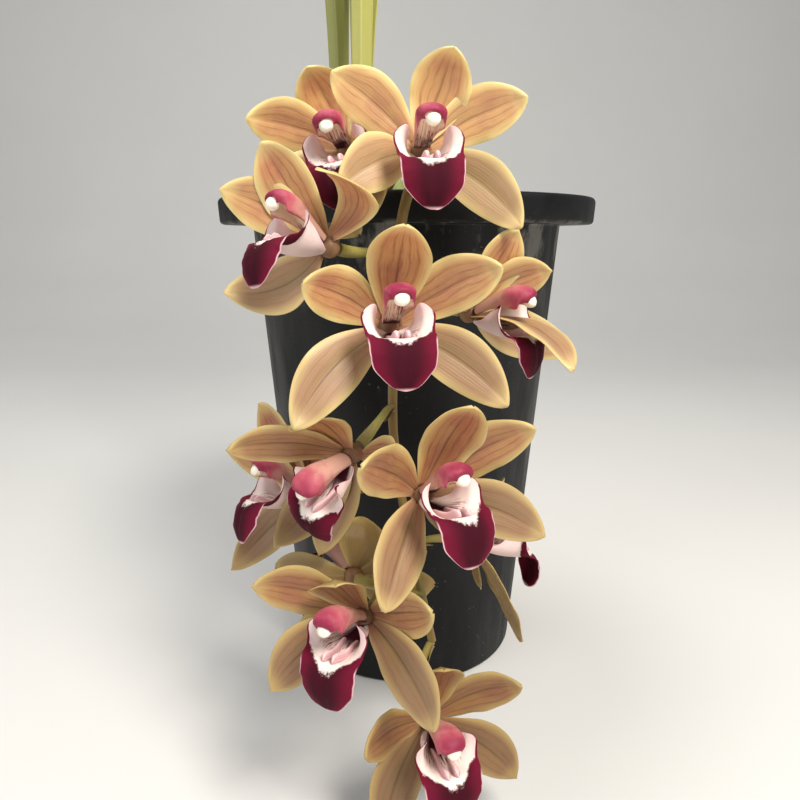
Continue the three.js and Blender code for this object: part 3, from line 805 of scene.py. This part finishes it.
lipColours = tints(white="fbeae1", pink="e6adb4", wine="6e142e", dark="3d0c1a", rim="efc0c6", stripe="8a1c40",
                   keel="f2cdcd")
lipMaterial, g, place = newMaterial("lip", Roughness=0.8, Specular_IOR_Level=0.12)
u, v, _ = g.split(g.uv())
across, along = abs(u - 0.5) * 2.0, v * float(lipEnd)
under = g.attribute("under")
inside = 1.0 - under
jagged = (g.noise(place, 620.0, 3.0, 0.7) - 0.5) * 0.9
drift = (g.noise(place, 170.0) - 0.5) * 0.8
border = 6.5 - g.smooth(across, 0.15, 0.85) * 1.5 - g.smooth(across, 0.9, 0.98) * 1.1
border = along - (border - under * g.smooth(across, 0.1, 0.5) * 1.9) + (jagged + drift)
wine = g.mix(g.smooth(across, 0.25, 0.95, 0.95, 0.0), lipColours["wine"], lipColours["dark"])
streak = g.smooth(g.noise(g.join(u * 60.0, v * 6.0), 1.0, 2.0, 0.6), 0.5, 0.6)
rim = g.smooth(across, 0.945, 0.985) * g.smooth(along, 5.6, 6.2)
rim = g.math("MAXIMUM", rim, g.smooth(along, 8.72, 8.92))
keel = g.mix(g.smooth(abs(u - 0.25), 0.04, 0.16) * 0.4, lipColours["keel"], lipColours["stripe"])
colour = g.layers(
    lipColours["white"],
    (g.smooth(across, 0.6, 1.0, 0.0, 0.4), lipColours["pink"]),
    (under * 0.3, lipColours["pink"]),
    (streak * (g.fall(along, 2.4, 4.4) * (inside * g.fall(across, 0.35, 0.7))), lipColours["stripe"]),
    (g.fall(along, 1.2, 2.8) * (inside * g.fall(across, 0.25, 0.6)), lipColours["dark"]),
    (g.smooth(border, -0.18, 0.18), wine),
    (rim * 0.85, lipColours["rim"]),
    (g.attribute("keel"), keel),
)
g.paint(colour, g.mottle(place, 120.0, 0.3, 0.7)["Grain"], 0.35, 0.0003)

columnColours = tints(crown="8f2343", rose="bd5868", tan="d6a593", cream="f8e3c8")
columnMaterial, g, place = newMaterial(
    "column", Roughness=0.55, Specular_IOR_Level=0.3, Subsurface_Weight=0.1,
    Subsurface_Radius=(1.0, 0.5, 0.4), Subsurface_Scale=0.0015)
cloud = g.mottle(place, 160.0, 0.35, 0.65)
u, v, _ = g.split(g.uv())
along = v + (cloud["Value"] - 0.5) * 0.16
streak = g.smooth(g.noise(g.join(u * 34.0, v * 5.0), 1.0), 0.5, 0.58)
top = g.layers(
    columnColours["tan"],
    (g.smooth(along, 0.25, 0.7), columnColours["rose"]),
    (g.smooth(along, 0.62, 0.98), columnColours["crown"]),
)
below = g.layers(
    columnColours["cream"],
    (streak * g.smooth(along, 0.2, 0.42, 0.95, 0.0), lipColours["stripe"]),
    (g.fall(along, 0.05, 0.24), lipColours["dark"]),
    (g.smooth(along, 0.93, 0.99), columnColours["crown"]),
)
g.paint(g.mix(g.attribute("under"), top, below), cloud["Grain"], 0.2, 0.0002)

capColours = tints(white="fbf4e6", cream="efe0bd")
capMaterial, g, place = newMaterial(
    "anther cap", Roughness=0.35, Subsurface_Weight=0.3, Subsurface_Radius=(1.0, 0.8, 0.6),
    Subsurface_Scale=0.002)
g.paint(g.mix(g.mottle(place, 300.0, 0.3, 0.7)["Value"] * 0.35, capColours["white"], capColours["cream"]))

green = tints(stem="8a7d3c", blush="8c5a3a", fresh="a3a04a", dry="a06a45")
stemMaterial, g, place = newMaterial("stem", Roughness=0.45, Subsurface_Weight=0.1, Subsurface_Scale=0.002)
cloud = g.mottle(place, 55.0, 0.35, 0.7)
grooves = g.stretched(place, (900.0, 900.0, 60.0), 2.0)
colour = g.layers(
    green["stem"],
    (g.attribute("fresh"), green["fresh"]),
    (cloud["Value"] * 0.5, green["blush"]),
    (g.smooth(grooves, 0.4, 0.75, 0.0, 0.3), green["dry"]),
)
g.paint(colour, grooves + cloud["Grain"], 0.25, 0.0003)

leafColours = tints(blade="aeb15c", deep="929c4c", rib="c4c67c", yellow="bdb562")
leafMaterial, g, place = newMaterial(
    "strap leaf", Roughness=0.4, Subsurface_Weight=0.12, Subsurface_Scale=0.001, Coat_Weight=0.1,
    Coat_Roughness=0.3)
lines = g.veins(place, 26.0, 0.3)
cloud = g.mottle(place, 22.0, 0.3, 0.7)
colour = g.layers(
    leafColours["blade"],
    (cloud["Value"], leafColours["yellow"]),
    (g.smooth(lines["Along"], 0.1, 0.7), leafColours["deep"]),
    (lines["Mask"] * 0.35, leafColours["deep"]),
    (g.fall(lines["Across"], 0.0, 0.12) * 0.7, leafColours["rib"]),
)
g.paint(colour, lines["Mask"] * 0.6 + cloud["Grain"] * 0.3, 0.4, 0.0005)

bulbColours = tints(skin="8a9450", dull="6d7440", husk="a98f63", worn="7d6340", fibre="6a4c30")
bulbMaterial, g, place = newMaterial(
    "pseudobulb skin", Roughness=0.5, Subsurface_Weight=0.08, Subsurface_Scale=0.003)
cloud = g.mottle(place, 70.0, 0.35, 0.65)
streak = g.stretched(place, (600.0, 600.0, 40.0), 3.0)
husky = g.smooth(streak, 0.5, 0.75, 0.0, 0.45)
colour = g.layers(bulbColours["skin"], (cloud["Value"], bulbColours["dull"]), (husky, bulbColours["husk"]))
g.paint(colour, streak + cloud["Grain"], 0.4, 0.0006)

huskMaterial, g, place = newMaterial("dry husk", Roughness=0.75)
cloud = g.mottle(place, 120.0, 0.3, 0.7)
fibre = g.stretched(place, (1500.0, 1500.0, 60.0), 3.0)
frayed = g.smooth(fibre, 0.45, 0.7, 0.0, 0.5)
colour = g.layers(bulbColours["husk"], (cloud["Value"], bulbColours["worn"]), (frayed, bulbColours["fibre"]))
g.paint(colour, fibre, 0.6, 0.0005)

plastic = tints(dark="0a0b0c", worn="17181a", dust="827f77", lime="aaa598")
potMaterial, g, place = newMaterial("dusty plastic", Roughness=0.6, Specular_IOR_Level=0.25)
height = g.split(place)[2]
cloud = g.mottle(place, 26.0, 0.45, 0.75)
film = g.stretched(place, (45.0, 45.0, 9.0), 4.0, 0.6)
speck = g.smooth(g.noise(place, 420.0, 2.0, 0.8), 0.66, 0.74)
underRim = g.smooth(height, 0.196, 0.236) * g.fall(height, 0.2415, 0.244)
stain = underRim * g.smooth(g.stretched(place, (60.0, 60.0, 30.0), 4.0, 0.65), 0.46, 0.62)
colour = g.layers(
    plastic["dark"],
    (g.smooth(film, 0.35, 0.75, 0.0, 0.6), plastic["worn"]),
    (stain * 0.8, plastic["dust"]),
    (speck * (cloud["Value"] * 0.5), plastic["lime"]),
)
rings = g.math("SINE", height * 2600.0) * 0.1
g.paint(colour, cloud["Grain"] * 0.4 + rings, 0.2, 0.0004, roughness=g.smooth(film, 0.3, 0.8, 0.42, 0.78))

bark = tints(dark="3d2818", warm="7a5234", pale="a98560")
barkMaterial, g, place = newMaterial("bark chips", Roughness=0.85)
cloud = g.mottle(place, 90.0, 0.3, 0.7)
grain = g.stretched(place, (300.0, 300.0, 1300.0), 3.0)
colour = g.layers(
    bark["dark"],
    (g.attribute("chip"), bark["warm"]),
    (cloud["Value"] * 0.55, bark["pale"]),
    (g.smooth(grain, 0.5, 0.7, 0.0, 0.7), bark["dark"]),
)
g.paint(colour, grain, 0.7, 0.0012)
print("materials ready")

for number, (at, facing, look, _, aims) in enumerate(blooms, 1):
    tepalPiece(number, at, facing, look, aims)
    lipPiece(number, at, facing)
    columnPiece(number, at, facing)
print("blooms ready")

route = smoothRoute(stemRoute, 400)
stemMesh = bakeNodes("rachis", polyCurve("rachis", [route]), tubeTree, {
    "Count": 220, "Sides": spikeShape["sides"], "Start radius": spikeShape["radius"] * mm,
    "End radius": spikeShape["tipRadius"] * mm, "Knobbliness": 0.12, "Material": stemMaterial})
paths = [pedicelPath(at, facing, node) for at, facing, _, node, _ in blooms]
pedicelMesh = bakeNodes("pedicels", polyCurve("pedicels", paths), tubeTree, {
    "Count": 36, "Sides": spikeShape["sides"], "Start radius": spikeShape["pedicel"] * mm,
    "End radius": spikeShape["ovary"] * mm, "Swell from": 0.4, "Swell to": 0.95, "Knobbliness": 0.1,
    "Seed": 8, "Material": stemMaterial})
for mesh, freshness in ((stemMesh, 0.0), (pedicelMesh, 0.8)):
    setField(mesh, "fresh", np.full(len(mesh.vertices), freshness))
bractMesh = makeMesh("bracts", [bractPart(p) for p in paths], [huskMaterial])
joinMeshes("rachis_and_pedicels", [stemMesh, pedicelMesh, bractMesh], "flower_spike")
print("spike ready")


def bulbHalfWidth(share):
    return bulbShape["radius"] * np.sin(np.pi * share**0.8) ** 0.7


def bulbHeightAt(radius):  # height of the upper half above the foot, as on the solids' straight rings
    shares = np.linspace(1, 0.5, 5)
    radii = np.where(shares == 1, 0, bulbHalfWidth(shares))
    return bulbShape["height"] * np.interp(radius, radii, shares)


def bulbPiece(name, place):
    share = np.linspace(0.0, 1.0, 44)[:, None]
    spin = sideways(72)
    rib = 1 + bulbShape["ribDepth"] * (np.cos(bulbShape["ribs"] * spin) - 1) * np.sin(np.pi * share)
    ring = bulbHalfWidth(np.clip(share, 0.012, 0.995)) * rib * bulbShape["inset"]
    skin = around(ring, spin, bulbShape["foot"] + bulbShape["height"] * share, place)
    parts = [asPart(closedTube(skin * mm))]
    noise = np.random.default_rng(sum(map(ord, name)))
    t, v = np.meshgrid(np.linspace(0, 1, 18), np.linspace(-1, 1, 15), indexing="ij")
    spread = sheathShape["spread"] * np.sqrt(np.clip(1 - t**2.2, 0.006, 1))
    foot = sheathShape["foot"]
    for index in range(sheathShape["count"]):  # dry sheaths that clasp the bulb
        angle = index * sheathShape["turn"] + noise.uniform(-0.3, 0.3) + spread * v
        level = foot + (noise.uniform(0.45, 0.8) - foot) * t
        out = bulbHalfWidth(level) * 0.99 + 0.45 + 0.25 * index * 0.4 + sheathShape["flare"] * t**3
        height = bulbShape["foot"] + bulbShape["height"] * level
        outer = around(out + sheathShape["thickness"], angle, height, place) * mm
        parts.append(asPart(closedSheet(outer, around(out, angle, height, place) * mm), material=1))
    makePiece(name.replace("pseudobulb", "bulb"), parts, [bulbMaterial, huskMaterial], name)


def leafPiece(name, index, place, leaf):
    offset, headingDegrees, reach, rise = leaf
    heading = math.radians(headingDegrees)
    out = np.array([math.cos(heading), math.sin(heading), 0])
    start = bulbShape["foot"] + 0.3 + bulbHeightAt(0.88 * max(abs(offset) - 0.5, 0))
    t = np.linspace(0, 1, 120)[:, None]
    path = np.array([place[0], place[1] + offset, start]) + out * reach * t**2.8
    path[:, 2] += (rise * (t - 0.16 * t**3.2))[:, 0]
    pieceName = f"{name.replace('pseudobulb', 'blade')}_{index}"
    mesh = bakeNodes(pieceName, polyCurve("leaf path", [path]), leafTree, {
        "Rows": leafShape["rows"], "Columns": leafShape["columns"] + 1, "Width": leafShape["width"] * mm,
        "Thickness": leafShape["thickness"] * mm, "Fold": leafShape["fold"],
        "Root side": (float(np.sign(out[1])), 0.0, 0.0), "Tip side": (float(out[1]), float(-out[0]), 0.0),
        "Seed": index, "Material": leafMaterial})
    placePiece(newObject(pieceName, mesh), f"{name}_leaf_{index}")


for name, (place, leaves) in bulbs.items():
    bulbPiece(name, place)
    for index, leaf in enumerate(leaves, 1):
        leafPiece(name, index, place, leaf)
print("leaves ready")

# Pot: the solids' profile, turned finely, with its drain holes cut.
potShape = {"sides": 144, "baseRadius": 63, "bodyTop": 82.5, "shelf": 242, "floor": 3.6, "wall": 1.8}
holeShape = {"count": 8, "radius": 5, "ring": 36, "reach": 8, "sides": 32}
profile = [
    (0, 0), (20, 0), (22, 2), (50, 2), (52, 0), (60.4, 0), (61.6, 0.3), (62.6, 1.2), (63, 2.2), (82.4, 240.8),
    (82.9, 241.8), (83.8, 242), (97.6, 242), (98.8, 242.5), (99.4, 243.6), (99.95, 252.2), (99.8, 253.6),
    (99.2, 254.6), (98.4, 255), (97.7, 254.6), (97.2, 253.4), (97, 244.6), (96.4, 243.9), (81.6, 243.8),
    (80.9, 243.2), (80.6, 242), (61.4, 4.4), (60.8, 3.6), (0, 3.6),
]


def lathe(points, sides, place=(0, 0)):
    inner = np.array(points[1:-1], float)
    made, faces = closedTube(around(inner[:, :1], sideways(sides), inner[:, 1:], place))
    made[-2:] = [(*place, points[0][1]), (*place, points[-1][1])]
    return asPart((made * mm, faces))


drills = []
bore, reach = holeShape["radius"], holeShape["reach"]
for angle in sideways(holeShape["count"]):
    place = holeShape["ring"] * math.cos(angle), holeShape["ring"] * math.sin(angle)
    rod = [(0, -reach), (bore, -reach), (bore, reach), (0, reach)]
    drills.append(lathe(rod, holeShape["sides"], place))
cutter = newObject("drill", makeMesh("drill", drills, [potMaterial]))
pot = newObject("pot_body", makeMesh("pot_body", [lathe(profile, potShape["sides"])], [potMaterial]))
cut = pot.modifiers.new("drain holes", "BOOLEAN")
cut.operation, cut.solver, cut.object = "DIFFERENCE", "EXACT", cutter
pot.data = shapedMesh(pot)
bpy.data.objects.remove(cutter)
placePiece(pot, "pot")
print("pot ready")

# Potting medium: lumpy bed with bark chips scattered over it.
bedShape = {
    "levels": (3.9, 120, 229),  # mm, rings up the pot's wall
    "clear": 0.3,
    "top": 232.6,
    "chipTop": 233,
    "chipRadii": (4, 74),
    "lump": 1.5,  # how far the bed rises and falls
    "flatAt": 229.5,  # level of the bed round a bulb
    "flatRadius": 15.5,
    "bulbClear": 20,  # no chips nearer than this to a bulb's middle
    "stemAt": (-19.5, -9.5),
    "stemClear": 9,
}
chipShape = {"seeds": (5, 23), "spacing": 0.0052, "small": 0.0042, "large": 0.0085, "seed": 17}
bulbPlaces = [place for place, _ in bulbs.values()]


def lumps(x, y):
    return bedShape["lump"] * (np.sin(x * 0.31 + 1.3) * np.cos(y * 0.27) + 0.6 * np.sin(x * 0.13 - y * 0.41))


def insideRadius(z):
    low, high, foot = potShape["baseRadius"], potShape["bodyTop"], potShape["floor"]
    outside = low + (high - low) * (z - foot) / (potShape["shelf"] - foot)
    return outside - potShape["wall"] - bedShape["clear"]


def distance(points, place):
    return np.hypot(points[..., 0] - place[0], points[..., 1] - place[1])


spin = sideways(96)
rings = [around(insideRadius(z), spin, float(z)) for z in bedShape["levels"]]
for radius in np.linspace(insideRadius(230) - 1.5, 3, 22):
    ring = around(radius, spin, 0.0)
    x, y, _ = ring.T
    ring[:, 2] = bedShape["top"] + lumps(x, y) + 0.5 * np.sin(x * 0.9) * np.cos(y * 1.1)
    for place in bulbPlaces:
        ring[distance(ring, place) < bedShape["flatRadius"], 2] = bedShape["flatAt"]
    rings.append(ring)
bedMesh = makeMesh("potting bed", [asPart(closedTube(np.array(rings) * mm))], [barkMaterial])

scatterTree, g, entry, leave = geometryTree(
    "scattered chips", ("Chip", "Object"), ("Spacing", "Float", 0.005), ("Smallest", "Float", 0.004),
    ("Largest", "Float", 0.009), ("Density", "Float", 60000.0), ("Seed", "Int", 1))
spread = g.add("GeometryNodeDistributePointsOnFaces", {
    "Mesh": entry["Geometry"], "Distance Min": entry["Spacing"], "Density Max": entry["Density"],
    "Seed": entry["Seed"]},
    distribute_method="POISSON")
chip = g.add("GeometryNodeObjectInfo", {"Object": entry["Chip"]}, "Geometry", transform_space="ORIGINAL")


def anyNumber(low, high, seed):
    values = {2: low, 3: high, "Seed": entry["Seed"] + seed}
    return g.add("FunctionNodeRandomValue", values, out=1, data_type="FLOAT")


spinAny = g.add("FunctionNodeRandomValue", {0: (-0.5, -0.5, 0.0), 1: (0.5, 0.5, 6.28), "Seed": entry["Seed"]},
                data_type="FLOAT_VECTOR")
sizeAny, toneAny = anyNumber(entry["Smallest"], entry["Largest"], 5), anyNumber(0.0, 1.0, 9)
chips = g.add("GeometryNodeInstanceOnPoints", {
    "Points": spread, "Instance": chip, "Rotation": spinAny, "Scale": sizeAny})
toned = g.add("GeometryNodeStoreNamedAttribute", {"Geometry": chips, "Name": "chip", "Value": toneAny},
              data_type="FLOAT", domain="INSTANCE")
endTree(g, entry, leave, toned)


def chipObject(seed):
    noise = np.random.default_rng(seed)
    t, v = np.meshgrid(np.linspace(-1, 1, 4), np.linspace(-0.6, 0.6, 3), indexing="ij")

    def rough(size):
        return noise.uniform(-size, size, t.shape)

    ragged = rough(0.16)
    top = np.stack([t + rough(0.1), v + ragged, 0.22 + rough(0.09)], -1)
    low = np.stack([t * 0.92 + rough(0.08), v * 0.9 + ragged, -0.2 + rough(0.08)], -1)
    points, faces = closedSheet(top, low)
    mesh = bpy.data.meshes.new("bark chip")
    mesh.from_pydata(points.tolist(), [], [face for block in faces for face in block[:, ::-1].tolist()])
    return newObject("bark chip", mesh)


def chipBed():  # the part of the bed's top where chips may lie
    radii = np.linspace(*bedShape["chipRadii"], 18)
    radii, angles = np.meshgrid(radii, np.linspace(0, fullTurn, 60), indexing="ij")
    flat = around(radii, angles, 0.0)
    flat[..., 2] = bedShape["chipTop"] + lumps(flat[..., 0], flat[..., 1])
    at = np.arange(radii.size).reshape(radii.shape)
    quads = np.stack([at[:-1, :-1], at[1:, :-1], at[1:, 1:], at[:-1, 1:]], -1).reshape(-1, 4)
    centres = flat.reshape(-1, 3)[quads].mean(1)
    keep = np.all([distance(centres, place) > bedShape["bulbClear"] for place in bulbPlaces], axis=0)
    keep &= distance(centres, bedShape["stemAt"]) > bedShape["stemClear"]
    mesh = bpy.data.meshes.new("chip bed")
    mesh.from_pydata((flat.reshape(-1, 3) * mm).tolist(), [], quads[keep].tolist())
    return mesh


chipMeshes = []
for index, seed in enumerate(chipShape["seeds"]):
    chip = chipObject(seed)
    chipMeshes.append(bakeNodes("chips", chipBed(), scatterTree, {
        "Chip": chip, "Spacing": chipShape["spacing"] * (1 + 0.5 * index), "Smallest": chipShape["small"],
        "Largest": chipShape["large"], "Seed": chipShape["seed"] + index, "Material": barkMaterial}))
    bpy.data.objects.remove(chip)
joinMeshes("bark_bed", [bedMesh, *chipMeshes], "potting_medium")
print("potting medium ready")

# Floor, light and camera.
studio = {"key": 11.5, "fill": 5.5, "top": 9.0, "air": 0.34, "airColour": (0.86, 0.9, 0.95, 1.0)}
floorColours = tints(pale="e6e4e0", cloud="cfccc6")
floorMaterial, g, place = newMaterial("pale floor", Roughness=0.8)
cloud = g.mottle(place, 3.0, 0.3, 0.7)
g.paint(g.mix(cloud["Value"] * 0.12, floorColours["pale"], floorColours["cloud"]))
sweep = [(-3.0, 0.0), (0.9, 0.0), (1.15, 0.03), (1.35, 0.12), (1.48, 0.28), (1.55, 0.5), (1.57, 2.6)]
floorMesh = bpy.data.meshes.new("studio floor")
floorMesh.from_pydata([(x, y, z) for y, z in sweep for x in (-3.5, 3.5)], [],
                      [(2 * i, 2 * i + 1, 2 * i + 3, 2 * i + 2) for i in range(len(sweep) - 1)])
floorMesh.shade_smooth()
floorMesh.materials.append(floorMaterial)
floor = newObject("studio floor", floorMesh)


def softLight(name, place, target, size, power, colour):
    lamp = bpy.data.lights.new(name, "AREA")
    lamp.shape, lamp.size, lamp.energy, lamp.color = "DISK", size, power, colour
    light = newObject(name, lamp)
    light.location = place
    light.rotation_euler = (Vector(target) - Vector(place)).to_track_quat("-Z", "Y").to_euler()


softLight("key light", (0.34, -0.66, 0.9), (0, -0.12, 0.2), 0.36, studio["key"], (1.0, 0.96, 0.89))
softLight("fill light", (-1.2, -0.9, 0.6), (0, -0.1, 0.2), 1.0, studio["fill"], (0.93, 0.96, 1.0))
softLight("top light", (-0.35, 0.3, 1.7), (0, -0.05, 0.2), 0.8, studio["top"], (1.0, 0.98, 0.95))
world = bpy.data.worlds.new("studio air")
world.use_nodes = True
background = world.node_tree.nodes["Background"].inputs
background["Color"].default_value = studio["airColour"]
background["Strength"].default_value = studio["air"]
scene.world = world
scene.view_settings.view_transform = "Standard"

lens = {"focal": 31.5, "sensor": 36, "near": 0.02, "place": (-0.0034, -0.397, 0.237), "tilt": 13.3}
camera = newObject("camera", bpy.data.cameras.new("camera"))
camera.data.lens, camera.data.sensor_width = lens["focal"], lens["sensor"]
camera.data.clip_start = lens["near"]
camera.location = lens["place"]
camera.rotation_euler = (math.radians(90 - lens["tilt"]), 0, 0)
scene.camera = camera

print("scene ready")
